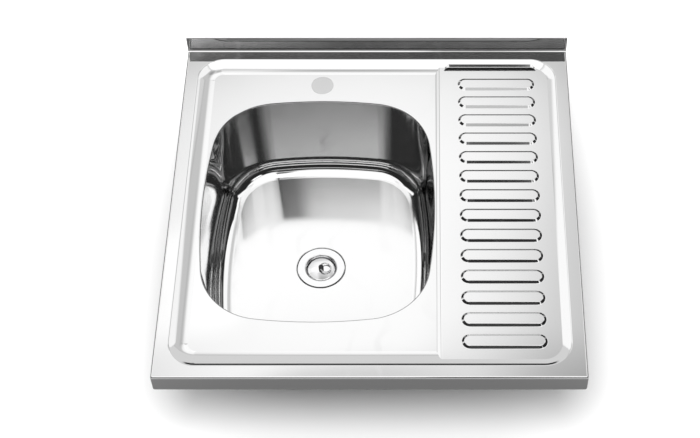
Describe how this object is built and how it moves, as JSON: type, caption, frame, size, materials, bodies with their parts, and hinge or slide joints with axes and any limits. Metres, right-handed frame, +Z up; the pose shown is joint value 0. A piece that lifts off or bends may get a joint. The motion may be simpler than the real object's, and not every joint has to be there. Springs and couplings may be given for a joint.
{
  "type": "lay-on kitchen sink top",
  "caption": "Square stainless lay-on sink top with one deep rounded bowl on the left, a ribbed drainer on the right, low rear upstand, folded aprons and a plug waste with a lift-out ring plug.",
  "frame": {"origin": "centre of the plane in which the folded return flange rests on the cabinet, below the middle of the deck", "axes": "+Z up, +Y to the rear upstand and the wall, +X to the drainer side"},
  "size_m": [0.6, 0.6024, 0.255],
  "materials": {
    "deck_steel": "bright polished stainless sheet",
    "bowl_steel": "polished stainless, slightly satin on the floor",
    "sound_pad": "matt bitumen-rubber sound deadening pad",
    "galvanised": "zinc plated steel",
    "waste_steel": "mirror polished",
    "rubber": "matt black",
    "waste_plastic": "white moulded plastic",
    "brass": "turned brass",
    "screw_steel": "stainless fastener",
    "post_plastic": "black moulded plastic",
    "plug_chrome": "bright chrome"
  },
  "bodies": {
    "sink": {"deck": "deck_steel", "bowl": "bowl_steel", "sound_pad": "sound_pad", "drainer_stiffener_inner": "galvanised", "drainer_stiffener_outer": "galvanised", "bracket_front_left": "galvanised", "bracket_front_right": "galvanised", "bracket_back_left": "galvanised", "bracket_back_right": "galvanised", "waste_flange": "waste_steel", "flange_gasket": "rubber", "body_gasket": "rubber", "waste_body": "waste_plastic", "waste_nut": "brass", "waste_screw": "screw_steel"},
    "plug": {"plug_cap": "plug_chrome", "plug_body": "rubber", "plug_washer": "screw_steel", "plug_post": "post_plastic"},
    "ring": {"pull_ring": "plug_chrome"}
  },
  "joints": [
    {"name": "plug_lift", "type": "slide", "parent": "sink", "child": "plug", "axis": [0, 0, 1], "range_m": [0, 0.2]},
    {"name": "ring_flip", "type": "hinge", "parent": "plug", "child": "ring", "pos_m": [-0.0855, -0.0084, -0.1258], "axis": [0, -1, 0], "range_deg": [0, 155.2]}
  ]
}
